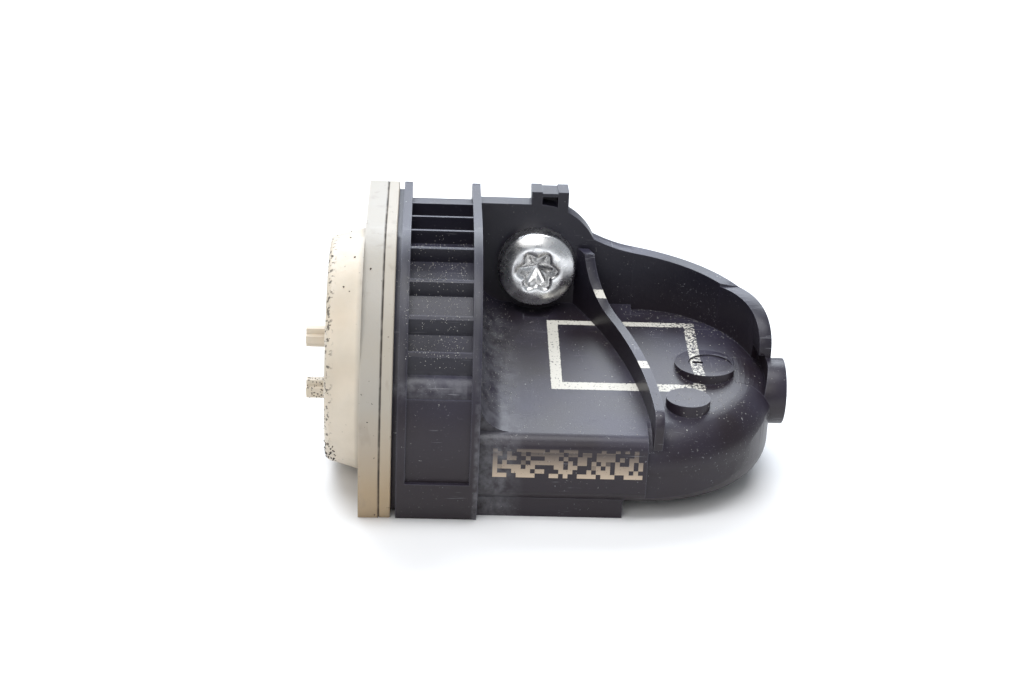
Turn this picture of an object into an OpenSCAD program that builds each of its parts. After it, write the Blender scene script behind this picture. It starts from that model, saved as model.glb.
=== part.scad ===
// Tyre pressure sensor: a moulded housing with a bowed, ribbed collar and a low rounded toe,
// closed at one end by a domed cell cover, and clamped to a valve by one screw.
// Lengths are in millimetres. The pieces are laid out from the cell's axis, with X running from
// the outer rim face to the toe, and are then moved so that the origin is on the valve screw,
// where it leaves the valve seat.

/* [Rim and collar outline] */
// Reach of the rim above and below the dome's base
rim_lip = 0.3; // [0.2:0.05:0.8]
// Reach of the rim's bowed front past the dome's base
bow_lip = 1.3; // [1:0.1:2]
// Radius of the bowed front of the rim
front_r = 13.5; // [12:0.1:16]
// Reach of the rim's flat back past the housing's back wall
back_lip = 1.7; // [1.2:0.1:2.4]
// Radius of the rim's back corners
back_corner_r = 2.1; // [1.2:0.1:3]

/* [Cell cover] */
// Thickness of the cover's rim
cover_rim_t = 1.5; // [1.2:0.1:2]
// Height of the dome above the rim
dome_h = 2.6; // [2.3:0.1:3.4]
// Thickness of the dome's wall where it leaves the rim
dome_wall_t = 1.1; // [0.9:0.05:1.6]
// Radius that the dome loses towards its flat end
dome_taper = 0.6; // [0:0.05:0.7]
// Rounding of the dome's end edge
dome_edge_r = 0.5; // [0.2:0.1:0.8]
// Thickness of the dome's end wall
dome_end_t = 0.8; // [0.6:0.1:1]
// Height of the two studs on the dome's end
stud_h = 1.75; // [0.8:0.05:2]
// Length of each stud's cross arms
stud_arm = 1.5; // [1:0.1:2]
// Thickness of each stud's cross arms
stud_arm_t = 0.6; // [0.4:0.05:0.9]
// Height of the upper stud above the cell axis
stud_high_z = 0.9; // [0.8:0.1:3]
// Depth of the lower stud below the cell axis
stud_low_z = 3.4; // [2.5:0.1:6]

/* [Cell carrier] */
// Thickness of the carrier plate, the rim's second layer
carrier_t = 0.88; // [0.7:0.02:1.2]
// Radius of the carrier's round window
carrier_window_r = 6.6; // [5:0.1:7.2]

/* [Collar] */
// Width of the dark groove between carrier and collar
groove_w = 0.37; // [0.2:0.01:0.6]
// Depth of that groove below the rim outline
groove_d = 0.6; // [0.3:0.05:0.9]
// Thickness of each flange
flange_t = 0.65; // [0.5:0.05:0.9]
// Width of the ribbed band between the flanges
band_w = 4.7; // [4:0.1:6]
// Depth of the pockets below the rim outline, at the front
pocket_d = 0.66; // [0.5:0.02:0.8]
// Extra depth of the pockets on top
pocket_drop = 0.64; // [0.3:0.02:0.8]
// Depth of the rib tips below the rim outline
rib_tip_d = 0.25; // [0.1:0.05:0.5]
// Thickness of each rib
rib_t = 0.24; // [0.2:0.01:0.4]
// Spacing of the ribs along the flat top
rib_pitch = 2.9; // [2.6:0.05:3.2]
// Angle of the first front rib above the bow's centre
rib_start_angle = 72.6; // [70:0.2:74]
// Angle between the first two front ribs
rib_angle = 14.4; // [13:0.1:15]
// Narrowing of that angle from rib to rib
rib_angle_ease = 0.6; // [0:0.1:0.8]
// Ribs that follow the bowed front
front_rib_count = 4; // [3:1:4]
// Ribs that stand on the flat top
top_rib_count = 3; // [2:1:3]
// Height above the cell axis at which the front pockets end
pocket_end_z = 1.75; // [1.4:0.05:2]
// Rounding of the ledge below the front pockets
ledge_r = 1.4; // [0.8:0.1:1.6]
// Depth of the plain lower wall below the rim outline
lower_wall_d = 0.3; // [0.15:0.05:0.5]
// Height of the sole that runs along the resting side
sole_h = 3.4; // [2.5:0.1:4]

/* [Toe] */
// Reach of the toe's radius past the radius of the dome's base
toe_over = 1.1; // [0.6:0.1:1.8]
// Centre of the toe from the rim's outer face
toe_x = 21.2; // [20.5:0.1:24]
// Reach of the front wall past the dome's base
wall_lip = 0.1; // [0:0.05:0.4]
// Height of the toe's underside above the resting side
toe_lift = 1; // [0.5:0.1:1.5]
// Rounding of the toe's lower edge
toe_low_r = 2.2; // [1:0.1:2.6]
// Rounding of the toe's upper edge
toe_top_r = 3; // [2:0.1:3.6]
// Shift of that rounding towards the tip, which keeps the tip fuller
crown_shift = 0.5; // [0.2:0.05:0.8]
// Distance of the sole's end from the toe's centre
sole_end_dx = 1.6; // [1:0.1:3]
// Height of the tray face above the resting side, at the front wall
face_front_h = 6.55; // [6:0.05:7.5]
// Slope of the tray face, rising to the back
face_slope = 8.8; // [5:0.1:10]
// Rounding of the tray's straight front edge
face_edge_r = 1.1; // [0.5:0.1:1.6]
// Radius of the hollow between tray face and rear flange
shoulder_r = 2.5; // [1:0.1:3.2]

/* [Back wall and fence] */
// Thickness of the back wall
back_wall_t = 1.5; // [1.2:0.1:1.8]
// Thickness of the fence at the tip of the toe
fence_tip_t = 0.9; // [0.7:0.1:1.3]
// Height of the fence above the tray's front edge, beside the toe's centre
fence_h = 7.45; // [6.8:0.05:8]
// Fall of the fence's top towards the tip
fence_fall = 9.5; // [7:0.1:11]
// Extra height of the fence where it leaves the round shoulder
fence_start_h = 0.6; // [0.3:0.1:0.9]
// Height of the fence above the tray's front edge where it starts to drop
fence_end_h = 5.85; // [5.4:0.05:6.2]
// Length over which the fence drops at the tip
fence_end_l = 5.6; // [4:0.1:6]
// Height that the fence loses at the tip
fence_end_drop = 3; // [2.4:0.1:3.4]
// Distance of the fence's end behind the toe's centre line
fence_end_dy = 0.55; // [0.3:0.05:1.2]
// Width of the lug on top of the back wall
lug_w = 2.95; // [2.4:0.05:3.4]
// Height of the lug above the back wall
lug_h = 1.05; // [0.8:0.05:1.4]
// Thickness of the lug's sides
lug_side_t = 0.85; // [0.6:0.05:1]
// Depth of the lug from front to back
lug_depth = 2; // [1.5:0.1:2.4]

/* [Fin] */
// Thickness of the fin
fin_t = 0.7; // [0.5:0.05:1]
// Height of the fin above the tray face
fin_h = 1.9; // [1.5:0.1:2.6]
// Height of the fin at the back wall above the tray face
fin_wall_h = 4.9; // [4:0.1:5.4]
// Radius of the fin's bend in plan
fin_bend_r = 39; // [34:0.5:46]
// Front end of the fin's outer side past the toe's centre
fin_front_dx = 1.1; // [0.8:0.05:1.4]
// Distance of the fin's front end behind the front wall
fin_front_gap = 0.5; // [0.3:0.1:1]
// Rounding of the fin's front end
fin_nose_r = 1.2; // [0.6:0.1:1.4]

/* [Marks of the mould] */
// Radius of the large round pad on the toe
pad_large_r = 2.4; // [2:0.1:2.8]
// Place of the large pad past the toe's centre, as a share of the toe's radius
pad_large_share = 0.5; // [0.46:0.01:0.54]
// Radius of the small round pad
pad_small_r = 1.67; // [1.3:0.01:2]
// Place of the small pad past the toe's centre, as a share of the toe's radius
pad_small_share_x = 0.32; // [0.28:0.01:0.36]
// Place of the small pad in front of the toe's centre, as a share of the toe's radius
pad_small_share_y = 0.5; // [0.47:0.01:0.53]
// Height of the small pad's front edge above the tray face
pad_small_h = 0.9; // [0.6:0.1:1.2]
// Radius of the round bump on the toe's end
bump_r = 2.55; // [2:0.05:2.8]
// Height of that bump past the toe's end
bump_h = 0.95; // [0.5:0.05:1.2]
// Depth of the bump's centre below the cell axis
bump_drop = 3.2; // [3:0.1:3.6]

/* [Valve screw] */
// Screw axis from the rim's outer face
screw_x = 13.4; // [13:0.1:14]
// Depth of the screw axis below the rim's top
screw_drop = 6.1; // [5.8:0.1:6.4]
// Radius of the screw's thread
screw_r = 1.5; // [1.3:0.05:1.75]
// Length of the screw under its head
screw_len = 8; // [6:0.5:10]
// Radius of the screw's head
head_r = 3.1; // [2.8:0.05:3.3]
// Height of the screw's head
head_h = 2.1; // [1.8:0.1:2.4]
// Height of the head's straight side
head_side_h = 1.1; // [0.7:0.1:1.4]
// Radius of the screw's plain neck
neck_r = 1.3; // [1.1:0.05:1.4]
// Radius of the drive recess over its lobes
drive_r = 1.6; // [1.3:0.05:1.8]
// Depth of the drive recess
drive_depth = 1.2; // [0.8:0.1:1.4]
// Radius of the round shoulder behind the screw
boss_r = 5; // [4.4:0.1:5.3]
// Radius of the valve seat
seat_r = 4.4; // [3.8:0.1:4.8]
// Height of the valve seat behind the back wall
seat_h = 1.1; // [0.8:0.1:1.6]
// Radius of the hollow that clears the screw's head
head_clear_r = 3.9; // [3.6:0.1:4]

/* [Electronics] */
// Thickness of the housing's walls round the hollow
wall = 1.2; // [0.9:0.05:1.4]
// Wall of the collar behind its pockets
collar_wall = 0.95; // [0.8:0.05:1.1]
// Radius of the coin cell
cell_r = 8; // [7.6:0.05:8.1]
// Thickness of the coin cell
cell_t = 3.2; // [2.8:0.05:3.2]
// Thickness of the circuit board
board_t = 0.8; // [0.6:0.05:1]
// Height of the circuit board above the hollow's floor
board_lift = 1.3; // [1:0.1:1.6]
// Side of the sensor chip
chip_w = 5; // [4:0.1:5.2]
// Thickness of the sensor chip
chip_t = 1.6; // [1.2:0.1:1.7]
// Length of the receiving coil
coil_len = 7.2; // [6:0.1:8]
// Side of the receiving coil's ends
coil_side = 2.6; // [2:0.1:2.8]
// Radius of the aerial's wire
aerial_r = 0.4; // [0.25:0.05:0.5]
// Thickness of the cell's tabs
tab_t = 0.15; // [0.1:0.01:0.2]
// Width of the cell's tabs
tab_w = 2.4; // [1.6:0.1:3]
// Width of the aerial between its legs
aerial_w = 12.4; // [10:0.1:12.6]
// Length of the storage capacitor
store_l = 3.5; // [3:0.1:4]
// Width of the storage capacitor
store_w = 2.8; // [2.4:0.1:3]
// Thickness of the storage capacitor
store_t = 1.5; // [1:0.1:1.6]
// Length of the crystal
crystal_l = 3.2; // [2.5:0.1:3.2]
// Width of the crystal
crystal_w = 2.5; // [2:0.1:2.5]
// Spacing of the small parts on the board
chip_pitch = 1.5; // [1.3:0.1:1.7]
// Length of the small parts on the board
chip_l = 1; // [0.6:0.1:1]

/* [Hidden] */
$fn = 64;
eps = 0.01;
// Reach of the cutting shapes past what they cut
over = 30;
// Running clearances between pieces that do not touch
cell_gap = 0.1;
board_gap = 0.5;
screw_gap = 0.1;
wire_gap = 0.05;

dome_inner_r = cell_r + cell_gap;
dome_base_r = dome_inner_r + dome_wall_t;
dome_end_r = dome_base_r - dome_taper;
half_h = dome_base_r + rim_lip;
// The bowed front nearly touches the flat top
bow_rise = 0.1;
toe_r = dome_base_r + toe_over;
front_cy = front_r - dome_base_r - bow_lip;
front_cz = half_h + bow_rise - front_r;
carrier_x0 = cover_rim_t;
joint_x = cover_rim_t + carrier_t;
flange_a = joint_x + groove_w;
band_a = flange_a + flange_t;
band_b = band_a + band_w;
shoulder_x = band_b + flange_t;
sole_z = -half_h + sole_h;

wall_front_y = -dome_base_r - wall_lip;
toe_y = wall_front_y + toe_r;
wall_back_y = toe_y + toe_r;
back_y = wall_back_y + back_lip;
wall_inner_y = wall_back_y - back_wall_t;
face_z0 = -half_h + face_front_h;
toe_bottom = -half_h + toe_lift;
toe_tip_x = toe_x + toe_r;
sole_end_x = toe_x - sole_end_dx;
screw_z = half_h - screw_drop;
seat_y = wall_back_y + seat_h;
// The screw's thread starts just behind the seat, and there the origin lies
thread_gap = 0.1;
origin_y = seat_y + thread_gap;
screw_chamfer = 0.3;
lug_dx = -0.6;
lug_back_t = 0.6;
fin_bend_dy = 0.2;
fin_rise = 1.6;
fence_x0 = screw_x + boss_r * 0.86;
// The floor and the collar's inner wall are thinner than the other walls
floor_ease = 0.2;
collar_ease = 0.25;
floor_t = wall - floor_ease;
cavity_floor = toe_bottom + floor_t;
cavity_inset = pocket_d + pocket_drop + collar_wall - collar_ease;
cavity_end_x = shoulder_x - collar_wall;

board_z = cavity_floor + board_lift;
board_top = board_z + board_t;
board_x0 = joint_x + board_gap / 2;

// Height of the tray face at a distance y from the cell axis
function face_z(y) = face_z0 + (y - wall_front_y) * tan(face_slope);

// Places of the ribs' middles: round the bow, then along the flat top
front_rib_ys = [for (i = [0:front_rib_count - 1])
    front_cy - (front_r - rib_tip_d) * cos(rib_start_angle - i * rib_angle + i * (i - 1) * rib_angle_ease)];
top_rib_dy = 1.65;
top_rib_start = front_cy - top_rib_dy - rib_pitch;
top_rib_ys = [for (i = [1:top_rib_count]) top_rib_start + i * rib_pitch];

// Port through the large pad to the sensor chip
pad_large_x = toe_x + toe_r * pad_large_share;
pad_large_top = face_z(toe_y + pad_large_r);
pad_small_x = toe_x + toe_r * pad_small_share_x;
pad_small_y = toe_y - toe_r * pad_small_share_y;
// Shallow dish in the large pad
dish_d = 0.15;
dish_lip = 0.7;
dish_dx = 0.35;
dish_dy = 0.1;
port_dx = 0.55;
port_dy = 0.4;
port_x = pad_large_x - port_dx;
port_y = toe_y + port_dy;
port_w = 0.85;
port_slot = 0.35;
chip_lid_t = 0.3;
chip_lid_lip = 0.7;
chip_lid_w = chip_w - 2 * chip_lid_lip;
lead_count = 6;
lead_w = 0.35;
lead_l = 0.7;
seal_r = 1.6;
seal_hole_r = 0.8;
seal_t = 0.35;
filter_t = 0.15;
port_boss_r = 2.2;
port_boss_z = board_top + chip_t + chip_lid_t + seal_t + filter_t;

cell_x0 = dome_end_t - dome_h;
cell_x1 = cell_x0 + cell_t;
cell_cap_h = 0.35;
cell_cap_lip = 1;
tab_weld = 0.3;
tab_x0 = cell_x1 - tab_w / 2 - tab_weld;
tab_room = tab_w + 2 * cell_gap;

// Places on the board: the coil, then the rows of small parts in front of it
coil_x = shoulder_x + 1;
coil_y = toe_y + toe_r * 0.35;
coil_end_t = 1.1;
coil_core_r = coil_side * 0.3;
coil_wire_r = coil_side * 0.46;
row_x = shoulder_x + chip_pitch;
row_y = toe_y;
store_y = toe_y - toe_r * 0.62;
crystal_x = toe_x - crystal_l * 0.94;
crystal_y = toe_y - toe_r * 0.35;
chip_side = chip_l / 2;
aerial_shift = 0.6;
aerial_x = (joint_x + cavity_end_x) / 2 + aerial_shift;
aerial_y0 = toe_y - toe_r * 0.524;
aerial_top = screw_z - aerial_shift;
rail_dy = toe_r * 0.55;
rail_end_dx = toe_r * 0.35;

// Moves the pieces from the cell's axis to the screw's seat
module at_seat() {
    translate([-screw_x, -origin_y, -screw_z])
        children();
}

// The rim's block: flat top, flat resting side and rounded back corners
module rim_block(y0, h, back, r) {
    translate([y0, -h])
        square([back - r - y0, 2 * h]);
    translate([y0, r - h])
        square([back - y0, 2 * (h - r)]);
    for (side = [-1, 1])
        translate([back - r, side * (h - r)])
            circle(r = r, $fn = 32);
}

// Outline of the rim seen along X, drawn smaller by inset
module rim_outline(inset = 0) {
    h = half_h - inset;
    back = back_y - inset;
    r = max(back_corner_r - inset, 0.4);
    intersection() {
        translate([front_cy, front_cz])
            circle(r = front_r - inset, $fn = 96);
        rim_block(front_cy - front_r, h, back, r);
    }
    rim_block(front_cy, h, back, r);
}

// A plate with the rim's outline between two places along X
module rim_plate(x0, x1, inset = 0) {
    translate([x0, 0, 0])
        rotate([90, 0, 90])
            linear_extrude(x1 - x0)
                rim_outline(inset);
}

// Plan of the toe: a half round end on a straight body, drawn smaller by inset
module toe_plan(x0, inset = 0) {
    translate([toe_x, toe_y])
        circle(r = toe_r - inset, $fn = 96);
    translate([x0, wall_front_y + inset])
        square([toe_x - x0, 2 * (toe_r - inset)]);
}

// Places children in the frame of the sloping tray face, with Z square to it
module on_face() {
    translate([toe_x, toe_y, face_z(toe_y)])
        rotate([face_slope, 0, 0])
            children();
}

// Half section of the toe's wall, with its lower edge rounded
module toe_section(h) {
    square([toe_r - toe_low_r, h]);
    translate([0, toe_low_r])
        square([toe_r, h - toe_low_r]);
    translate([toe_r - toe_low_r, toe_low_r])
        circle(r = toe_low_r, $fn = 48);
}

// Half section of the crown over the tray face, with its upper edge rounded by r
module crown_section(r, depth, flare) {
    translate([0, -r])
        square([toe_r - r, r]);
    intersection() {
        translate([toe_r - r, -r])
            circle(r = r, $fn = 48);
        translate([0, -r])
            square([toe_r, r]);
    }
    polygon([[0, -depth], [0, -r], [toe_r, -r], [toe_r + flare, -depth]]);
}

// A section drawn round the toe, and straight on along the body behind it
module round_and_back(length) {
    rotate_extrude($fn = 96)
        children();
    translate([-length, 0, 0])
        rotate([90, 0, 90])
            linear_extrude(length) {
                children();
                mirror([1, 0])
                    children();
            }
}

// Upper limit of the toe and the body: the tray face with its rounded edges
module crown() {
    depth = 2 * half_h;
    flare = depth * tan(face_slope + 2);
    straight = toe_x - band_b;
    translate([crown_shift, 0, 0])
        rotate_extrude($fn = 96)
            crown_section(toe_top_r, depth, flare);
    translate([-straight, 0, 0])
        rotate([90, 0, 90])
            linear_extrude(straight) {
                crown_section(face_edge_r, depth, flare);
                mirror([1, 0])
                    crown_section(face_edge_r, depth, flare);
            }
}

// The toe and the body behind it, before anything stands on it
module toe_body() {
    intersection() {
        translate([toe_x, toe_y, toe_bottom])
            round_and_back(toe_x - band_b)
                toe_section(2 * half_h);
        on_face()
            crown();
    }
}

// Hollow curve between the tray face and the rear flange
module shoulder_hollow() {
    length = wall_inner_y - wall_front_y - face_edge_r;
    on_face()
        translate([shoulder_x - toe_x - eps, face_edge_r - toe_r, -eps])
            rotate([90, 0, 180])
                mirror([1, 0, 0])
                    linear_extrude(length / cos(face_slope))
                        difference() {
                            square([shoulder_r, shoulder_r]);
                            translate([shoulder_r, shoulder_r])
                                circle(r = shoulder_r);
                        }
}

// Floor of the pockets: the rim's outline, smaller and a little lower
module pocket_floor(x0, x1) {
    intersection() {
        translate([0, 0, -pocket_drop])
            rim_plate(x0, x1, pocket_d);
        rim_plate(x0, x1, pocket_d);
    }
}

// Places along Y and Z that the plain lower wall takes, with a round ledge in front
module lower_wall_section() {
    ledge_in = 1;
    ledge_y = wall_front_y + lower_wall_d + ledge_in;
    translate([-over, -over])
        square([2 * over, over + pocket_end_z - ledge_r]);
    translate([ledge_y, -over])
        square([front_cy - ledge_y, over + pocket_end_z]);
    translate([ledge_y, pocket_end_z - ledge_r])
        circle(r = ledge_r, $fn = 48);
    translate([front_cy, -over])
        square([over, over + half_h - back_corner_r]);
}

// Ribbed collar: two flanges, the band between them and the plain lower wall
module collar() {
    x0 = band_a - eps;
    x1 = band_b + eps;
    rim_plate(joint_x, flange_a + eps, groove_d);
    rim_plate(flange_a, band_a);
    rim_plate(band_b, shoulder_x);
    pocket_floor(x0, x1);
    intersection() {
        rim_plate(x0, x1, lower_wall_d);
        translate([x0, 0, 0])
            rotate([90, 0, 90])
                linear_extrude(x1 - x0)
                    lower_wall_section();
    }
    intersection() {
        rim_plate(x0, x1);
        translate([x0, -over, -over])
            cube([x1 - x0, 2 * over, over + sole_z]);
    }
    intersection() {
        rim_plate(x0, x1, rib_tip_d);
        for (y = concat(front_rib_ys, top_rib_ys))
            translate([x0, y - rib_t / 2, 0])
                cube([x1 - x0, rib_t, over]);
    }
}

// Sole: the flat strip that the part rests on, from the collar to below the toe
module sole() {
    translate([0, 0, -half_h])
        linear_extrude(toe_lift + toe_low_r)
            intersection() {
                toe_plan(band_b, toe_low_r / 3);
                translate([band_b, -over])
                    square([sole_end_x - band_b, 2 * over]);
            }
}

// Wall at the back of the tray, with its round shoulder behind the screw
module back_wall() {
    top = screw_z + boss_r;
    low = toe_bottom + toe_low_r;
    translate([0, wall_back_y, 0])
        rotate([90, 0, 0])
            linear_extrude(back_wall_t) {
                translate([band_b, low])
                    square([screw_x - band_b, top - low]);
                translate([screw_x, screw_z])
                    circle(r = boss_r, $fn = 96);
            }
}

// Height of the fence's top at a distance x from the rim's outer face
function fence_z(x) = face_z0 + fence_h - (x - toe_x) * tan(fence_fall)
    + fence_start_h * pow(max(0, (toe_x - x) / (toe_x - fence_x0)), 2);

// Plan of the fence: thick beside the back wall and thin at the toe's tip
module fence_plan() {
    shift = (back_wall_t - fence_tip_t) / 2;
    difference() {
        intersection() {
            toe_plan(screw_x);
            translate([screw_x, toe_y])
                square([over, over]);
        }
        translate([toe_x + shift, toe_y - shift])
            circle(r = toe_r - (back_wall_t + fence_tip_t) / 2, $fn = 96);
        translate([screw_x - eps, toe_y - over])
            square([toe_x - screw_x, over + toe_r - back_wall_t]);
    }
}

// Fence round the back and the tip of the tray
module fence() {
    steps = 16;
    low = face_z(toe_y) - toe_top_r;
    end_y = toe_y + fence_end_dy;
    end_z = face_z0 + fence_end_h;
    intersection() {
        translate([0, 0, low])
            linear_extrude(over)
                fence_plan();
        translate([0, over, 0])
            rotate([90, 0, 0])
                linear_extrude(2 * over)
                    polygon(concat(
                        [[screw_x, low], [screw_x, fence_z(fence_x0)]],
                        [for (i = [0:steps]) let (x = fence_x0 + (toe_x - fence_x0) * i / steps) [x, fence_z(x)]],
                        [[toe_tip_x + 1, fence_z(toe_tip_x + 1)], [toe_tip_x + 1, low]]));
        rotate([90, 0, 90])
            linear_extrude(2 * over)
                polygon(concat(
                    [[over, low], [over, over], [end_y + fence_end_l, over]],
                    [for (i = [0:steps]) let (a = 90 * i / steps)
                        [end_y + fence_end_l * (1 - sin(a)), end_z - fence_end_drop * (1 - cos(a))]],
                    [[end_y, low]]));
    }
}

// Lug on top of the back wall, with a blind square window in its front
module lug() {
    root = 0.8;
    top_t = 0.4;
    sill = root - 0.45;
    dip = 0.12;
    h = lug_h + root;
    translate([screw_x + lug_dx, wall_back_y - back_wall_t, screw_z + boss_r - root])
        difference() {
            cube([lug_w, lug_depth, h]);
            translate([lug_side_t, -eps, sill])
                cube([lug_w - 2 * lug_side_t, lug_depth - lug_back_t, h - sill - top_t]);
            translate([lug_side_t, -eps, h - dip])
                cube([lug_w - 2 * lug_side_t, over, over]);
        }
}

// Curved fin that crosses the tray from the back wall to the front edge
module fin() {
    front_x = toe_x + fin_front_dx;
    bend_x = front_x - fin_t - fin_bend_r;
    bend_y = wall_front_y - fin_bend_dy;
    front = wall_front_y + fin_front_gap;
    rise_r = (fin_wall_h - fin_h) * fin_rise;
    root = 0.5;
    intersection() {
        translate([bend_x, bend_y, face_z0 - 1])
            linear_extrude(over)
                difference() {
                    circle(r = fin_bend_r + fin_t, $fn = 360);
                    circle(r = fin_bend_r, $fn = 360);
                }
        on_face()
            translate([-over, 0, 0])
                rotate([90, 0, 90])
                    linear_extrude(2 * over)
                        difference() {
                            union() {
                                translate([front - toe_y + fin_nose_r, -1])
                                    square([wall_inner_y - front - fin_nose_r + root, fin_h + 1]);
                                translate([front - toe_y, -1])
                                    square([fin_nose_r * 2, fin_h + 1 - fin_nose_r]);
                                translate([front - toe_y + fin_nose_r, fin_h - fin_nose_r])
                                    circle(r = fin_nose_r);
                                translate([wall_inner_y - toe_y - rise_r, 0])
                                    square([rise_r + root, fin_wall_h]);
                            }
                            translate([wall_inner_y - toe_y - rise_r, fin_h + rise_r])
                                circle(r = rise_r, $fn = 96);
                        }
        translate([shoulder_x, -over, -over])
            cube([front_x + fin_t - shoulder_x, 2 * over, 2 * over]);
    }
}

// Round pads left by the mould on the toe, and the bump on its end
module mould_marks() {
    translate([pad_large_x, toe_y, pad_large_top - toe_top_r])
        difference() {
            cylinder(r = pad_large_r, h = toe_top_r);
            translate([dish_dx, -dish_dy, toe_top_r - dish_d])
                cylinder(r = pad_large_r - dish_lip, h = toe_top_r);
        }
    translate([pad_small_x, pad_small_y, face_z(pad_small_y - pad_small_r) - toe_top_r])
        cylinder(r = pad_small_r, h = toe_top_r + pad_small_h);
    translate([toe_tip_x - toe_top_r, toe_y, -bump_drop])
        rotate([0, 90, 0])
            cylinder(r = bump_r, h = toe_top_r + bump_h);
}

// Round boss behind the wall that the valve seats on
module valve_boss() {
    translate([screw_x, wall_back_y - eps, screw_z])
        rotate([-90, 0, 0])
            cylinder(r = seat_r, h = seat_h + eps, $fn = 96);
}

// Hollow inside the housing, open towards the cover
module hollow() {
    roof = wall / cos(face_slope);
    rim_plate(joint_x - eps, cavity_end_x, cavity_inset);
    intersection() {
        translate([0, 0, cavity_floor])
            linear_extrude(over)
                toe_plan(cavity_end_x - 1, wall);
        translate([0, 0, -roof])
            on_face()
                translate([-over, -over, -over])
                    cube([2 * over, 2 * over, over]);
        translate([joint_x, -over, -over])
            cube([over, 2 * over, 2 * over]);
    }
}

// Moulded housing
module housing() {
    color("#1f1e24")
        at_seat()
            difference() {
                union() {
                    difference() {
                        union() {
                            collar();
                            toe_body();
                            sole();
                            shoulder_hollow();
                            back_wall();
                            fence();
                            valve_boss();
                            mould_marks();
                        }
                        hollow();
                        translate([screw_x, wall_inner_y, screw_z])
                            rotate([90, 0, 0])
                                cylinder(r = head_clear_r, h = head_h + screw_gap);
                    }
                    lug();
                    fin();
                    port_boss();
                    board_ribs();
                }
                translate([screw_x, wall_inner_y - over, screw_z])
                    rotate([-90, 0, 0])
                        cylinder(r = screw_r + screw_gap, h = 2 * over);
                translate([port_x - port_w / 2, port_y - port_slot / 2, port_boss_z - 1])
                    cube([port_w, port_slot, over]);
            }
}

// Flat boss under the roof that the sensor's seal is pressed on
module port_boss() {
    translate([port_x, port_y, port_boss_z])
        cylinder(r = port_boss_r, h = face_z(port_y) - wall / 2 - port_boss_z);
}

// Two ribs on the hollow's floor that carry the board
module board_ribs() {
    for (y = [toe_y - rail_dy, toe_y + rail_dy])
        translate([cavity_end_x, y - wall / 2, cavity_floor - eps])
            cube([toe_x - cavity_end_x + rail_end_dx, wall, board_lift + eps]);
}

// Domed cover over the cell, with the outer layer of the rim
module cover() {
    color("#d8cfbf")
        at_seat()
            difference() {
                union() {
                    rim_plate(0, cover_rim_t);
                    rotate([0, -90, 0])
                        rotate_extrude($fn = 96)
                            dome_section();
                    for (z = [stud_high_z, -stud_low_z])
                        translate([-dome_h, 0, z])
                            stud();
                }
                translate([cell_x0, 0, 0])
                    rotate([0, 90, 0])
                        cylinder(r = dome_inner_r, h = over, $fn = 96);
                translate([tab_x0 - cell_gap, 0, -tab_room / 2])
                    cube([over, cell_r + 4 * tab_t + cell_gap, tab_room]);
            }
}

// Half section of the dome: a slight cone with a rounded end edge
module dome_section() {
    polygon([[0, -eps], [dome_base_r, -eps], [dome_end_r, dome_h - dome_edge_r], [0, dome_h - dome_edge_r]]);
    square([dome_end_r - dome_edge_r, dome_h]);
    translate([dome_end_r - dome_edge_r, dome_h - dome_edge_r])
        intersection() {
            circle(r = dome_edge_r, $fn = 32);
            square([dome_edge_r, dome_edge_r]);
        }
}

// Cross shaped stud on the dome's end
module stud() {
    translate([-stud_h, -stud_arm / 2, -stud_arm_t / 2])
        cube([stud_h + eps, stud_arm, stud_arm_t]);
    translate([-stud_h, -stud_arm_t / 2, -stud_arm / 2])
        cube([stud_h + eps, stud_arm_t, stud_arm]);
}

// Carrier plate behind the cell, the inner layer of the rim
module cell_carrier() {
    color("#b9b3a8")
        at_seat()
            difference() {
                rim_plate(carrier_x0, joint_x);
                translate([carrier_x0 - eps, 0, 0])
                    rotate([0, 90, 0])
                        cylinder(r = carrier_window_r, h = over);
                translate([carrier_x0 - eps, 0, -tab_room / 2])
                    cube([over, cell_r + 4 * tab_t + cell_gap, tab_room]);
                translate([carrier_x0 - eps, -tab_room / 2, board_top - cell_gap])
                    cube([over, tab_room, -board_top]);
            }
}

// Coin cell: can with a crimped shoulder and a raised cap on the board's side
module coin_cell() {
    color("#c9c9c4")
        at_seat()
            translate([cell_x0, 0, 0])
                rotate([0, 90, 0]) {
                    cylinder(r = cell_r, h = cell_t - cell_cap_h, $fn = 96);
                    translate([0, 0, cell_t - cell_cap_h - eps])
                        cylinder(r = cell_r - cell_cap_lip, h = cell_cap_h + eps, $fn = 96);
                }
}

// Tab welded to the can's side, which runs past the cap and down to the board
module tab_positive() {
    x1 = board_x0 + tab_w;
    color("#bfae8a")
        at_seat()
            translate([0, cell_r, 0])
                union() {
                    translate([tab_x0, 0, -tab_w / 2])
                        cube([x1 - tab_x0, tab_t, tab_w]);
                    translate([x1 - tab_w / 2, 0, board_top])
                        cube([tab_w / 2, tab_t, tab_w / 2 - board_top]);
                }
}

// Tab welded to the cap, bent out to a foot on the board
module tab_negative() {
    foot = board_x0 + tab_w - cell_x1;
    color("#bfae8a")
        at_seat()
            translate([cell_x1, -tab_w / 2, 0]) {
                translate([0, 0, board_top])
                    cube([tab_t, tab_w, -board_top + 1]);
                translate([0, 0, board_top])
                    cube([foot, tab_w, tab_t]);
            }
}

// Circuit board, from the carrier's window to the round of the toe
module circuit_board() {
    color("#1f5a3a")
        at_seat()
            translate([0, 0, board_z])
                linear_extrude(board_t)
                    toe_plan(board_x0, wall + board_gap);
}

// Package of the pressure sensor under the port
module sensor_chip() {
    color("#26262a")
        at_seat()
            translate([port_x - chip_w / 2, port_y - chip_w / 2, board_top])
                cube([chip_w, chip_w, chip_t]);
}

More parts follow.
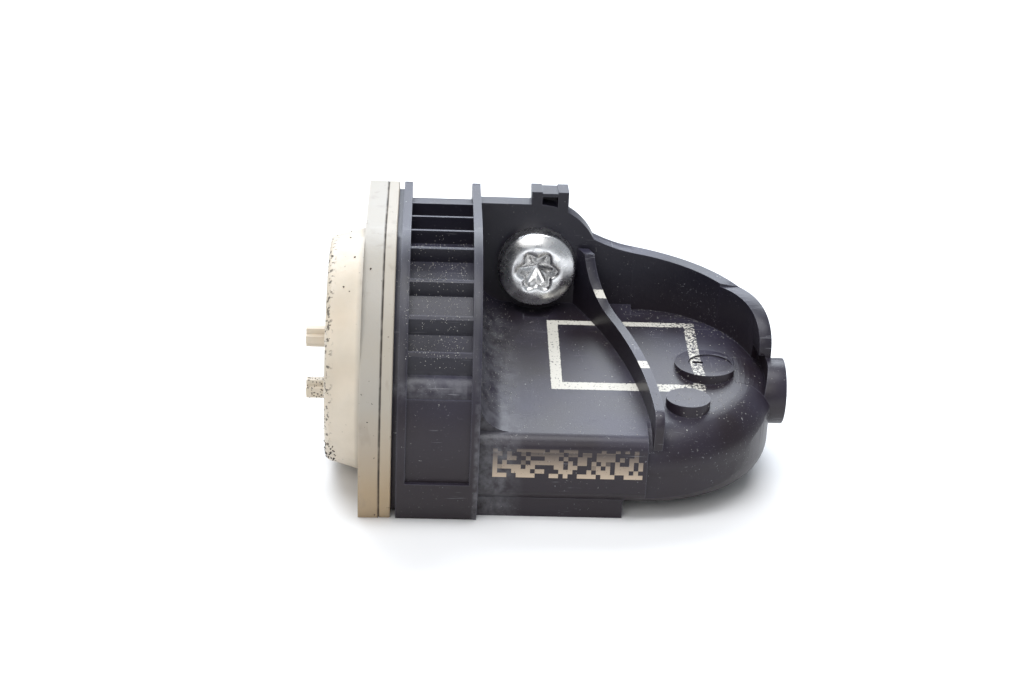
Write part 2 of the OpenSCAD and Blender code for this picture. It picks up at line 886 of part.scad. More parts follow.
// Soldered leads on two sides of the sensor
module sensor_leads() {
    edge = chip_w / 10;
    step = (chip_w - 2 * edge) / (lead_count - 1);
    color("#c8c8c8")
        at_seat()
            for (i = [0:lead_count - 1], side = [-1, 1])
                translate([port_x - chip_w / 2 + edge + i * step - lead_w / 2,
                           port_y + side * (chip_w + lead_l) / 2 - lead_l / 2, board_top])
                    cube([lead_w, lead_l, chip_t / 3]);
}

// Metal lid of the sensor, with the hole that passes the tyre's air
module sensor_lid() {
    color("#b8bcc0")
        at_seat()
            translate([port_x, port_y, board_top + chip_t])
                difference() {
                    translate([-chip_lid_w / 2, -chip_lid_w / 2, 0])
                        cube([chip_lid_w, chip_lid_w, chip_lid_t]);
                    translate([0, 0, -eps])
                        cylinder(r = port_slot, h = over);
                }
}

// Rubber seal round the lid's hole
module port_seal() {
    color("#3a3a3a")
        at_seat()
            translate([port_x, port_y, board_top + chip_t + chip_lid_t])
                difference() {
                    cylinder(r = seal_r, h = seal_t);
                    translate([0, 0, -eps])
                        cylinder(r = seal_hole_r, h = over);
                }
}

// Membrane that keeps water out of the port
module port_filter() {
    color("#f0f0ec")
        at_seat()
            translate([port_x, port_y, board_top + chip_t + chip_lid_t + seal_t])
                cylinder(r = seal_r, h = filter_t);
}

// Crystal can
module crystal() {
    color("#c4c6c8")
        at_seat()
            translate([crystal_x, crystal_y, board_top])
                cube([crystal_l, crystal_w, crystal_l / 4]);
}

// Ferrite core of the receiving coil, with square ends
module coil_core() {
    color("#3c3838")
        at_seat()
            translate([coil_x, coil_y - coil_side / 2, board_top])
                union() {
                    for (x = [0, coil_len - coil_end_t])
                        translate([x, 0, 0])
                            cube([coil_end_t, coil_side, coil_side]);
                    translate([coil_end_t / 2, coil_side / 2, coil_side / 2])
                        rotate([0, 90, 0])
                            cylinder(r = coil_core_r, h = coil_len - coil_end_t);
                }
}

// Copper winding of the receiving coil
module coil_winding() {
    color("#b06a35")
        at_seat()
            translate([coil_x + coil_end_t, coil_y, board_top + coil_side / 2])
                rotate([0, 90, 0])
                    difference() {
                        cylinder(r = coil_wire_r, h = coil_len - 2 * coil_end_t);
                        translate([0, 0, -eps])
                            cylinder(r = coil_core_r + wire_gap, h = over);
                    }
}

// Aerial: a round wire bent into a frame that stands on the board inside the collar
module aerial_loop() {
    y0 = aerial_y0;
    y1 = aerial_y0 + aerial_w;
    top = aerial_top;
    bend = aerial_r * 2.5;
    color("#c08a4a")
        at_seat()
            translate([aerial_x, 0, 0]) {
                for (y = [y0, y1])
                    translate([0, y, board_top])
                        cylinder(r = aerial_r, h = top - bend - board_top, $fn = 32);
                translate([0, y0 + bend, top])
                    rotate([-90, 0, 0])
                        cylinder(r = aerial_r, h = y1 - y0 - 2 * bend, $fn = 32);
                translate([0, y0 + bend, top - bend])
                    rotate([90, 0, 90])
                        rotate([0, 0, 90])
                            rotate_extrude(angle = 90, $fn = 48)
                                translate([bend, 0])
                                    circle(r = aerial_r, $fn = 32);
                translate([0, y1 - bend, top - bend])
                    rotate([90, 0, 90])
                        rotate_extrude(angle = 90, $fn = 48)
                            translate([bend, 0])
                                circle(r = aerial_r, $fn = 32);
            }
}

// Capacitor that carries the transmitter's bursts
module storage_capacitor() {
    color("#c9a13b")
        at_seat()
            translate([row_x, store_y, board_top])
                cube([store_l, store_w, store_t]);
}

// A row of small parts on the board
module chip_row(x, y, count, size) {
    at_seat()
        for (i = [0:count - 1])
            translate([x + i * chip_pitch, y, board_top])
                cube(size);
}

module chip_capacitors() {
    color("#b79a74")
        chip_row(row_x, row_y - 2 * chip_l, 5, [chip_side, chip_l, chip_side]);
}

module chip_resistors() {
    color("#222222")
        chip_row(row_x, row_y, 5, [chip_side, chip_l, chip_side * 0.7]);
}

module chip_inductors() {
    side = chip_l * 0.8;
    color("#6e6e72")
        chip_row(toe_x - 2 * chip_l, coil_y, 2, [side, 2 * side, side]);
}

// Half section of the screw's head: a straight side under a shallow dome
module head_section() {
    rise = head_h - head_side_h;
    dome_r = (head_r * head_r + rise * rise) / (2 * rise);
    square([head_r, head_side_h]);
    intersection() {
        translate([0, head_h - dome_r])
            circle(r = dome_r, $fn = 192);
        translate([0, head_side_h - eps])
            square([head_r, rise + eps]);
    }
}

// Valve screw: domed head with a six lobe drive, a plain neck and the thread as a plain shank
module valve_screw() {
    neck_l = origin_y - wall_inner_y;
    color("#c2c6ca")
        at_seat()
            translate([screw_x, wall_inner_y, screw_z])
                rotate([90, 0, 0])
                    difference() {
                        union() {
                            rotate_extrude($fn = 96)
                                head_section();
                            translate([0, 0, -neck_l - eps])
                                cylinder(r = neck_r, h = neck_l + 2 * eps);
                            translate([0, 0, screw_chamfer - screw_len])
                                cylinder(r = screw_r, h = screw_len - screw_chamfer - neck_l);
                            translate([0, 0, -screw_len])
                                cylinder(r1 = screw_r - screw_chamfer, r2 = screw_r, h = screw_chamfer);
                        }
                        translate([0, 0, head_h - drive_depth])
                            linear_extrude(over)
                                six_lobe(drive_r);
                    }
}

// Six lobe outline: a disc with six round bites taken from its edge
module six_lobe(r) {
    difference() {
        circle(r = r);
        for (i = [0:5])
            rotate(30 + i * 60)
                translate([r * 1.06, 0])
                    circle(r = r * 0.3, $fn = 32);
    }
}

housing();
cover();
cell_carrier();
coin_cell();
tab_positive();
tab_negative();
circuit_board();
sensor_chip();
sensor_leads();
sensor_lid();
port_seal();
port_filter();
crystal();
coil_core();
coil_winding();
aerial_loop();
storage_capacitor();
chip_capacitors();
chip_resistors();
chip_inductors();
valve_screw();
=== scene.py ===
# %% [markdown]
# # A tyre pressure sensor, dressed from its imported frame
# The frame holds the real solids of the part, in metres, with the origin on the valve screw where
# it leaves the seat. This script adds what solids can't show: rounded edges, the screw's thread,
# laser marks, finishes, dust and wear. Each step says what the piece is on the real sensor, how
# it could be made, and why one way was chosen.

# %% Load the frame
import math

import bmesh
import bpy
from mathutils import Matrix, Vector


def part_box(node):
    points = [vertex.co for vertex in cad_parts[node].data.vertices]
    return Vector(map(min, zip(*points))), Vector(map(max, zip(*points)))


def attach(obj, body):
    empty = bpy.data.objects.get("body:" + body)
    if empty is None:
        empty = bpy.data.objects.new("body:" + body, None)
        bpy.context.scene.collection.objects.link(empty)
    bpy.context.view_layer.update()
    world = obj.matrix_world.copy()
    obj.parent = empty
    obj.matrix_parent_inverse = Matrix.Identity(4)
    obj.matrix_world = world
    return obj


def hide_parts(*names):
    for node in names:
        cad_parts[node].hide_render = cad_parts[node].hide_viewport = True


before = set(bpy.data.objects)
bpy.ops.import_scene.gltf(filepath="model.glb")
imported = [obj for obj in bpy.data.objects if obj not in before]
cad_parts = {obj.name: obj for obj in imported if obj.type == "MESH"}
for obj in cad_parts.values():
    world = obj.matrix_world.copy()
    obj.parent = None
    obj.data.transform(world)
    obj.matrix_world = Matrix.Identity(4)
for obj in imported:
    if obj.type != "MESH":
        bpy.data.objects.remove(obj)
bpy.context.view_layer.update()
MM = 0.001

# %% [markdown]
# The solids were drawn from the coin cell's axis, with X running from the rim's outer face to the
# toe, and then moved to the screw. Every place below is given in that first frame, because it is
# the one in which the part is easy to read: the dome is round about it and the rim is level with
# it. One function moves a place, in millimetres, to where the frame has it.

# %% Places, from the cell's axis
SCREW = Vector((13.4, 12.5, 3.4))


def at(x, y, z):
    return (Vector((x, y, z)) - SCREW) * MM


print("rim centre", at(0, 0, 0))

# %% [markdown]
# The photograph was taken from the front, 24 degrees above the sensor, with a long lens turned a
# little clockwise. Such a view can be set by eye, or solved from points whose real places are
# known. The solved one is used: ten corners of the rim, the screw and the flat tray gave the lens,
# the distance and the turn.

# %% Camera
elevation = math.radians(24.17)
azimuth = math.radians(-2.82)
roll = math.radians(-2.6)
distance, looked_at = 152.37, at(11.263, 0, 0.824)
ahead = Vector((math.sin(-azimuth) * math.cos(elevation),
                math.cos(azimuth) * math.cos(elevation), -math.sin(elevation)))
level = ahead.cross(Vector((0, 0, 1))).normalized()
upright = level.cross(ahead)
right = level * math.cos(roll) - upright * math.sin(roll)
up = upright * math.cos(roll) + level * math.sin(roll)
eye = bpy.data.objects.new("camera", bpy.data.cameras.new("camera"))
sensor_mm, lens_px, width_px = 36, 2000, 1024
eye.data.sensor_width = sensor_mm
eye.data.lens = sensor_mm * lens_px / width_px
eye.data.clip_start = 0.005
eye.matrix_world = Matrix((
    (right.x, up.x, -ahead.x, 0), (right.y, up.y, -ahead.y, 0),
    (right.z, up.z, -ahead.z, 0), (0, 0, 0, 1)))
eye.location = looked_at - ahead * distance * MM
bpy.context.collection.objects.link(eye)
bpy.context.scene.camera = eye
bpy.context.scene.view_settings.view_transform = "Standard"
print("lens", round(eye.data.lens, 1), "mm")

# %% [markdown]
# A finish is a tree of shader nodes. Wiring each one by hand hides the thought behind a hundred
# lines of links, so two small classes do it. Signal wraps one socket and turns + - * / into Math
# nodes. Finish owns the material: its node method makes any other node from its settings and what
# feeds its sockets.

# %% Signals and finishes
class Signal:
    def __init__(self, finish, socket):
        self.finish, self.socket = finish, socket

    def math(self, operation, *values, clamp=False):
        return self.finish.node("ShaderNodeMath", {"operation": operation, "use_clamp": clamp}, *values)

    def __add__(self, other):
        return self.math("ADD", self, other)

    def __sub__(self, other):
        return self.math("SUBTRACT", self, other)

    def __rsub__(self, other):
        return self.math("SUBTRACT", other, self)

    def __mul__(self, other):
        return self.math("MULTIPLY", self, other)

    def __truediv__(self, other):
        return self.math("DIVIDE", self, other)

    __radd__ = __add__
    __rmul__ = __mul__

    def over(self, low, high):
        # 0 below low, 1 above high, and a straight line between them
        return self.math("MULTIPLY", self - low, 1 / (high - low), clamp=True)

    def most(self, other):
        return self.math("MAXIMUM", self, other)

    def least(self, other):
        return self.math("MINIMUM", self, other)

    def size(self):
        return self.math("ABSOLUTE", self)

    def part(self):
        return self.math("FRACT", self)


class Finish:
    def __init__(self, name, **constants):
        self.material = bpy.data.materials.new(name)
        self.material.use_nodes = True
        self.tree = self.material.node_tree
        self.tree.nodes.clear()
        self.shader = self.tree.nodes.new("ShaderNodeBsdfPrincipled")
        end = self.tree.nodes.new("ShaderNodeOutputMaterial")
        self.tree.links.new(self.shader.outputs[0], end.inputs[0])
        for key, value in constants.items():
            self.set(key.replace("_", " ").title().replace("Ior", "IOR"), value)

    def set(self, name, value):
        self.feed(self.shader.inputs[name], value)

    def feed(self, socket, value):
        if isinstance(value, Signal):
            self.tree.links.new(value.socket, socket)
        elif isinstance(value, (tuple, list)) and socket.type == "RGBA" and len(value) == 3:
            socket.default_value = (*value, 1)
        else:
            socket.default_value = value

    def node(self, kind, settings=None, *values, out=0, **named):
        made = self.tree.nodes.new(kind)
        for key, value in (settings or {}).items():
            if key == "stops":
                while len(made.color_ramp.elements) < len(value):
                    made.color_ramp.elements.new(1)
                for stop, (place, colour) in zip(made.color_ramp.elements, value):
                    stop.position, stop.color = place, (*colour, 1)
            else:
                setattr(made, key, value)
        for socket, value in zip(made.inputs, values):
            self.feed(socket, value)
        for key, value in named.items():
            self.feed(made.inputs[key.replace("_", " ")], value)
        return Signal(self, made.outputs[out])

    def place(self):
        return self.node("ShaderNodeTexCoord", out=3)

    def along(self, vector, axis):
        return self.node("ShaderNodeSeparateXYZ", None, vector, out="XYZ".index(axis))

    def noise(self, size_mm, detail=2.0, stretch=(1, 1, 1), rough=0.5):
        turned = self.node("ShaderNodeMapping", None, self.place(), Scale=stretch)
        return self.node("ShaderNodeTexNoise", None, turned, Scale=1 / (size_mm * MM), Detail=detail,
                         Roughness=rough)

    def mix(self, factor, a, b):
        made = self.tree.nodes.new("ShaderNodeMix")
        made.data_type = "RGBA"
        self.feed(made.inputs[0], factor)
        self.feed(made.inputs[6], a)
        self.feed(made.inputs[7], b)
        return Signal(self, made.outputs[2])

    def bump(self, height, strength, depth_mm):
        return self.node("ShaderNodeBump", None, Strength=strength, Distance=depth_mm * MM, Height=height)


print("helpers ready")

# %% [markdown]
# The sensor stands on a pale table in soft light. Black plastic has next to no colour of its own:
# what the eye reads on it is what it mirrors. A wide cool panel behind and above gives the tray
# its blue-grey sheen, one overhead lights the pockets' treads, and a dim one in front keeps the
# walls readable. Point lamps would be simpler, but their reflections are dots and not a sheen.

# %% Stage and lights
def panel(name, place, aim, size, power, colour):
    lamp = bpy.data.lights.new(name, "AREA")
    lamp.shape = "RECTANGLE"
    lamp.size, lamp.size_y = size
    lamp.energy = power
    lamp.color = colour
    stand = bpy.data.objects.new(name, lamp)
    stand.location = place
    stand.rotation_euler = (Vector(aim) - Vector(place)).to_track_quat("-Z", "Y").to_euler()
    bpy.context.collection.objects.link(stand)


panel("panel_back", (-0.02, 0.22, 0.20), (0, 0, 0), (0.36, 0.20), 1.5, (0.86, 0.92, 1.0))
panel("panel_front", (-0.10, -0.30, 0.22), (0, 0, 0), (0.34, 0.2), 0.55, (1.0, 0.98, 0.95))
panel("panel_top", (-0.02, -0.06, 0.36), (0, 0, 0), (0.3, 0.22), 1.15, (0.97, 0.98, 1.0))
world = bpy.data.worlds.new("room")
bpy.context.scene.world = world
world.use_nodes = True
room = world.node_tree.nodes["Background"]
room.inputs["Color"].default_value = (0.8, 0.85, 0.92, 1)
room.inputs["Strength"].default_value = 0.38
mesh = bpy.data.meshes.new("table")
half, depth = 0.6, 1.8
ground = at(0, 0, -9.5).z
corners = [(-half, -half, ground), (half, -half, ground), (half, depth, ground), (-half, depth, ground)]
mesh.from_pydata(corners, [], [(0, 1, 2, 3)])
table = bpy.data.objects.new("table", mesh)
bpy.context.collection.objects.link(table)
paper = Finish("pale_table", roughness=0.8, base_color=(0.8, 0.8, 0.8))
mesh.materials.append(paper.material)
print("table at", round(ground / MM, 2), "mm")

# %% [markdown]
# A tool edge is never perfectly sharp, and the thin bright line along each edge is what makes a
# solid look moulded. A Bevel modifier can cut real roundings into a mesh, and a Bevel node can
# fake them in the shader. The carried solids are loose triangles, so a copy is merged and its flat
# faces dissolved first; then the modifier rounds every edge that turns by more than 28 degrees,
# Weighted Normal keeps the flat faces flat in the light, and the outcome is kept as a plain mesh.

# %% Rounded copies of solids
def link(name, mesh):
    piece = bpy.data.objects.new(name, mesh)
    bpy.context.collection.objects.link(piece)
    return piece


def settled(piece):
    # what the modifiers give, as a plain mesh
    graph = bpy.context.evaluated_depsgraph_get()
    mesh = bpy.data.meshes.new_from_object(piece.evaluated_get(graph))
    piece.modifiers.clear()
    piece.data = mesh
    return piece


def rounded(node, name, width_mm, segments=2, reshape=None, cutter=None):
    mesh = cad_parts[node].data.copy()
    mesh.materials.clear()
    shape = bmesh.new()
    shape.from_mesh(mesh)
    bmesh.ops.remove_doubles(shape, verts=shape.verts, dist=0.002 * MM)
    if reshape:
        reshape(shape)
    bmesh.ops.dissolve_limit(shape, angle_limit=math.radians(0.6), verts=shape.verts, edges=shape.edges)
    shape.to_mesh(mesh)
    shape.free()
    piece = link(name, mesh)
    for polygon in mesh.polygons:
        polygon.use_smooth = True
    if cutter:
        cut = piece.modifiers.new("cut", "BOOLEAN")
        cut.object = cutter
        cut.solver = "EXACT"
    bevel = piece.modifiers.new("rounding", "BEVEL")
    bevel.width = width_mm * MM
    bevel.segments = segments
    bevel.limit_method = "ANGLE"
    bevel.angle_limit = math.radians(28)
    bevel.miter_outer = "MITER_ARC"
    weights = piece.modifiers.new("flat faces", "WEIGHTED_NORMAL")
    weights.keep_sharp = True
    settled(piece)
    if cutter:
        bpy.data.objects.remove(cutter)
    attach(piece, "root")
    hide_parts(node)
    print(name, len(piece.data.polygons), "faces")
    return piece


def place_of(x=None, y=None, z=None):
    # one place along an axis, in metres, from millimetres at the cell's axis
    if x is not None:
        return at(x, 0, 0).x
    if y is not None:
        return at(0, y, 0).y
    return at(0, 0, z).z


# %% [markdown]
# The housing is glass-filled black plastic. New, it is near black with a faint violet cast; in use
# its upper faces take a film of dust, its corners hold white grit, and handling scratches it. All
# of that is laid over one dark colour: a film where the face looks up, part dust and part painted
# sheen, a painted warm reflection low on the walls, a painted highlight on the ledge under the
# pockets, specks from two noises, long stretched noise for scratches, and a Bevel node that finds
# the edges, which are lightened as wear and painted highlight.

# %% Black plastic
def black_plastic():
    f = Finish("black_plastic", specular_ior_level=0.38)
    spot = f.place()
    x, y, z = (f.along(spot, a) for a in "XYZ")
    normal = f.node("ShaderNodeNewGeometry", out="Normal")
    upward = f.along(normal, "Z").over(-0.1, 0.9)
    soft = f.node("ShaderNodeBevel", {"samples": 4}, 0.16 * MM)
    edge = 1 - f.node("ShaderNodeVectorMath", {"operation": "DOT_PRODUCT"}, soft, normal, out="Value")
    edge = edge.over(0.01, 0.14)
    cloud = f.noise(6, detail=4)
    dust_and_sheen = upward * cloud.over(0.35, 0.75)
    grit = f.noise(0.22, detail=3, rough=0.65)
    patch = f.noise(2.6, detail=3)
    specks = grit.over(0.665, 0.70) * patch.over(0.46, 0.66)
    fine = f.noise(0.09, detail=2).over(0.70, 0.76) * patch.over(0.36, 0.6) * 0.6
    lines = f.noise(0.16, detail=1, stretch=(0.06, 1.6, 1)).over(0.70, 0.74)
    cross = f.noise(0.2, detail=1, stretch=(1.2, 0.07, 1)).over(0.71, 0.75)
    scratch = lines.most(cross) * f.noise(3.1, detail=2).over(0.5, 0.62)
    # painted reflection: the collar's lower wall and the sole take a warm brown tone, the tray a violet one
    low = 1 - z.over(place_of(z=-1.5), place_of(z=3))
    colour = f.mix(low * 0.7, (0.012, 0.011, 0.018), (0.020, 0.013, 0.016))
    # painted sheen: faces that look up take a blue-grey tint, part dust film and part painted sheen
    colour = f.mix(dust_and_sheen * 0.55, colour, (0.052, 0.050, 0.088))
    # the hollow beside the rear flange is dusty, and the ledge under the pockets gets a painted highlight
    hollow = x.over(place_of(x=8.3), place_of(x=8.5)) * (1 - x.over(place_of(x=10.4), place_of(x=12.2)))
    hollow = hollow * (1 - z.over(place_of(z=-0.5), place_of(z=4)))
    hollow = hollow * (1 - y.over(place_of(y=6), place_of(y=9)))
    ledge_highlight = 1 - (z - place_of(z=1.1)).size().over(0.2 * MM, 1.0 * MM)
    ledge_highlight = ledge_highlight * (1 - x.over(place_of(x=7.7), place_of(x=7.8)))
    ledge_highlight = ledge_highlight * (0 - f.along(normal, "Y")).over(0.1, 0.4)
    dust_and_ledge_highlight = hollow.most(ledge_highlight * 0.8) * f.noise(0.9, detail=5, rough=0.65).over(0.36, 0.66)
    # dust in the hollow and a painted highlight on the ledge, both broken up by noise
    colour = f.mix(dust_and_ledge_highlight * 0.6, colour, (0.15, 0.15, 0.165))
    # edges lightened, part wear and dust, part painted highlight
    colour = f.mix(edge * 0.35, colour, (0.10, 0.10, 0.13))
    colour = f.mix(scratch * 0.5, colour, (0.20, 0.20, 0.22))
    colour = f.mix((specks * (0.35 + 0.65 * upward)).most(fine * upward), colour, (0.42, 0.42, 0.40))
    rough = 0.30 + 0.16 * cloud + 0.25 * specks
    return f, colour, rough, (x, y, z), normal, upward, scratch


print("black plastic ready")

# %% [markdown]
# Two marks are laser-printed on the plastic: a pale rectangle on the tray and a field of small
# squares on the front wall. Decals would need pictures and floating planes; here both are worked
# out from the place on the object, so they follow the fin and the pad as the real beam did.

# %% Laser marks
def laser_frame(f, x, y, upward):
    # a rectangle burnt pale by a laser from above, so it falls on the tray, the fin's top and the pad
    left, right_side = place_of(x=14.27), place_of(x=26.1)
    front, back = place_of(y=-2.45), place_of(y=7.2)

    def inside(value, low, high, soft=0.06 * MM):
        return value.over(low, low + soft).least(1 - value.over(high - soft, high))

    rag = (f.noise(0.14, detail=2) - 0.5) * (0.12 * MM)
    gx, gy = x + rag, y + rag
    outer = inside(gx, left, right_side).least(inside(gy, front, back))
    side_w, front_w, back_w = 0.85 * MM, 0.95 * MM, 0.6 * MM
    inner = inside(gx, left + side_w, right_side - side_w).least(inside(gy, front + front_w, back - back_w))
    rough_end = x.over(place_of(x=21.5), place_of(x=26)) * 0.16
    worn = (f.noise(0.16, detail=3) - rough_end).over(0.30, 0.40)
    faces = upward.over(0.75, 0.85)
    return (outer - inner).over(0.3, 0.6) * worn * faces


def dot_code(f, x, y, z, normal):
    # small square modules on the front wall, filled by chance: it reads as a code but says nothing
    pitch = 0.346 * MM
    columns, rows = 32, 8
    left, top = place_of(x=9.8), place_of(z=-3.2)
    column = (x - left) / pitch
    row = (top - z) / pitch
    seed = 7.0
    soft = 0.02
    cell = f.node("ShaderNodeCombineXYZ", None, column.math("FLOOR", column), row.math("FLOOR", row), seed)
    filled = f.node("ShaderNodeTexWhiteNoise", {"noise_dimensions": "3D"}, cell, out="Value").over(0.46, 0.47)
    solid = (1 - row.over(1 - soft, 1.0)).most(1 - column.over(1 - soft, 1.0))
    field = column.over(0, soft).least(1 - column.over(columns - soft, columns))
    field = field.least(row.over(0, soft)).least(1 - row.over(rows - soft, rows))
    facing = (0 - f.along(normal, "Y")).over(0.6, 0.7) * (1 - y.over(place_of(y=-9.1), place_of(y=-9.0)))
    return filled.most(solid) * field * facing * f.noise(0.12, detail=2).over(0.24, 0.34)


def housing_finish():
    f, colour, rough, (x, y, z), normal, upward, scratch = black_plastic()
    mark = laser_frame(f, x, y, upward)
    code = dot_code(f, x, y, z, normal)
    colour = f.mix(mark, colour, (0.60, 0.58, 0.52))
    colour = f.mix(code, colour, (0.50, 0.40, 0.30))
    f.set("Base Color", colour)
    f.set("Roughness", rough + 0.2 * mark.most(code))
    grain = f.noise(0.12, detail=2)
    f.set("Normal", f.bump(grain * 0.05 - scratch * 0.06, 0.5, 0.25))
    return f


print("laser marks ready")

# %% [markdown]
# Two places of the solid differ a little from the real moulding: the fence's top has a small step
# where it starts to drop at the tip, and the end bump's root shows as a ridge on the toe. A sculpt
# would do, but wouldn't repeat; so the step's corners are moved by a rule, and a swept cutter
# takes the ridge off down to the toe's rounded edge.

# %% Housing
def smooth_fence(shape):
    # start and end are the places along Y between which the top sinks by drop, in millimetres
    start, end, drop, near = 10.6, 7.15, 0.216, 0.05
    toe_x, step_foot, step_top = 21, 2.85, 2.95
    step = []
    for corner in shape.verts:
        x, y, z = corner.co / MM + SCREW
        if x > toe_x and y > end - near and z > step_foot:
            if y < end + near:
                step.append(corner)
            if z > step_top:
                share = min(1, max(0, (start - y) / (start - end)))
                corner.co.z -= drop * share * share * MM
    bmesh.ops.remove_doubles(shape, verts=step, dist=0.02 * MM)


def bump_cutter():
    # the room over the toe's rounded edge, swept round the toe, which leaves the end bump as a disc;
    # the section runs from pad_r out over the crown to top, in the toe's own tilted frame
    tilt = Matrix.Rotation(math.radians(8.8), 3, "X")
    toe = Vector((21.2, 1.0, -1.355))
    shift, crown_r, straight, pad_r, air, top = 0.5, 3.0, 7.3, 6.83, 0.03, 0.76
    start, sweep, steps = -22, 37, 16
    section = [(pad_r, air)]
    section += [(straight + crown_r * math.sin(a), crown_r * math.cos(a) - crown_r + air)
                for a in (math.radians(44.4) * i / 6 for i in range(7))]
    section += [(section[-1][0], top), (pad_r, top)]
    shape = bmesh.new()
    loops = []
    for i in range(steps + 1):
        a = math.radians(start + sweep * i / steps)
        places = [Vector((shift + r * math.cos(a), r * math.sin(a), z)) for r, z in section]
        loops.append([shape.verts.new(at(*(toe + tilt @ place))) for place in places])
    for one, other in zip(loops, loops[1:]):
        for i in range(len(section)):
            j = (i + 1) % len(section)
            shape.faces.new((one[i], one[j], other[j], other[i]))
    shape.faces.new(loops[0])
    shape.faces.new(loops[-1])
    bmesh.ops.recalc_face_normals(shape, faces=shape.faces)
    mesh = bpy.data.meshes.new("bump_cutter")
    shape.to_mesh(mesh)
    shape.free()
    return link("bump_cutter", mesh)


housing = rounded("housing", "housing_shell", 0.09, reshape=smooth_fence, cutter=bump_cutter())
housing.data.materials.append(housing_finish().material)

# %% [markdown]
# The cover and the carrier are unfilled ivory plastic, a little see-through, welded together at a
# seam. A vertex-painted mesh could hold the stains; noises read at the object's own place do it
# without painting. The dome is warm and pale, the rim greyer, with painted shade and reflection
# turning it yellow-brown at its lower end, grime lies in the seam, the dome's end edge has dark
# patchy marks, and black crumbs stick here and there.

# %% Cover and carrier
def ivory_finish(name, light, grey):
    f = Finish(name, subsurface_weight=0.12, specular_ior_level=0.45)
    f.shader.inputs["Subsurface Radius"].default_value = (0.0012, 0.0009, 0.0006)
    spot = f.place()
    x, y, z = (f.along(spot, a) for a in "XYZ")
    rim = x.over(place_of(x=-0.4), place_of(x=0.1))
    low = 1 - z.over(place_of(z=-7), place_of(z=0))
    cloud = f.noise(3.2, detail=4)
    colour = f.mix(rim, light, grey)
    patch = f.noise(5.5, detail=2)
    colour = f.mix(patch.over(0.5, 0.7) * (1 - rim) * 0.4, colour, (0.56, 0.45, 0.33))
    colour = f.mix(cloud.over(0.45, 0.75) * 0.35, colour, (0.36, 0.32, 0.25))
    # painted shade and reflection: the rim turns yellow-brown towards its lower end, by the table
    colour = f.mix(low * rim * 0.75, colour, (0.36, 0.25, 0.13))
    seam = 1 - (x - place_of(x=1.5)).size().over(0.04 * MM, 0.12 * MM)
    across = f.node("ShaderNodeCombineXYZ", None, y - place_of(y=0), z - place_of(z=0), 0.0)
    radius = f.node("ShaderNodeVectorMath", {"operation": "LENGTH"}, across, out="Value")
    edge_ring = radius.over(7.7 * MM, 8.2 * MM) * (1 - x.over(place_of(x=-2.3), place_of(x=-1.9)))
    tick = f.noise(0.3, detail=3).over(0.56, 0.62)
    crumbs = f.noise(0.28, detail=3).over(0.70, 0.73) * f.noise(3.5, detail=1).over(0.50, 0.58)
    dark = (seam * (0.5 + 0.35 * f.noise(0.8, detail=3).over(0.3, 0.55))).most(crumbs)
    # dark patchy marks along the dome's end edge
    dark = dark.most(edge_ring * tick * 0.8)
    smear = f.noise(1.4, detail=4, stretch=(1, 1, 0.4)).over(0.60, 0.72) * rim * 0.4
    colour = f.mix(smear, colour, (0.20, 0.17, 0.13))
    colour = f.mix(dark, colour, (0.035, 0.028, 0.022))
    f.set("Base Color", colour)
    f.set("Roughness", 0.38 + 0.14 * cloud + 0.3 * dark)
    waves = f.noise(0.5, detail=3) * 0.12 + f.noise(0.08, detail=1) * 0.03
    f.set("Normal", f.bump(waves - dark * 0.05, 0.5, 0.3))
    return f


cover = rounded("cover", "cover_shell", 0.16, segments=3)
dome_colour, rim_colour, carrier_colour = (0.60, 0.53, 0.43), (0.34, 0.315, 0.275), (0.36, 0.325, 0.27)
cover.data.materials.append(ivory_finish("ivory_plastic", dome_colour, rim_colour).material)
carrier = rounded("cell_carrier", "carrier_plate", 0.12)
carrier.data.materials.append(ivory_finish("carrier_plastic", carrier_colour, carrier_colour).material)

# %% [markdown]
# A screw is cold-headed, its thread is rolled, and zinc leaves it bright. The head is a pan with a
# six-lobe recess whose floor is the cone that the punch leaves. A Boolean could cut the recess,
# but a lathe whose rings follow the lobes gives clean quads: each ring has a share of lobe and a
# share of circle, and the rings run from the floor's middle out over the head and down the shank.

# %% Screw with a lobed recess
def lobes(angle, radius):
    return radius * (0.86 + 0.14 * math.cos(6 * angle))


def lobed_lathe(name, rings, turns=96):
    # rings hold (radius, place along the axis, share of lobe); the ends close on a point
    shape = bmesh.new()
    loops = []
    for radius, depth, share in rings:
        loop = []
        for i in range(turns):
            a = math.tau * i / turns
            r = share * lobes(a, radius) + (1 - share) * radius
            loop.append(shape.verts.new(Vector((r * math.cos(a), depth, r * math.sin(a))) * MM))
        loops.append(loop)
    for inner, outer in zip(loops, loops[1:]):
        for i in range(turns):
            j = (i + 1) % turns
            shape.faces.new((inner[i], inner[j], outer[j], outer[i]))
    for loop, depth in ((loops[0], rings[0][1]), (loops[-1], rings[-1][1])):
        tip = shape.verts.new(Vector((0, depth, 0)) * MM)
        for i in range(turns):
            shape.faces.new((loop[i], loop[(i + 1) % turns], tip))
    bmesh.ops.recalc_face_normals(shape, faces=shape.faces)
    mesh = bpy.data.meshes.new(name)
    shape.to_mesh(mesh)
    shape.free()
    return mesh


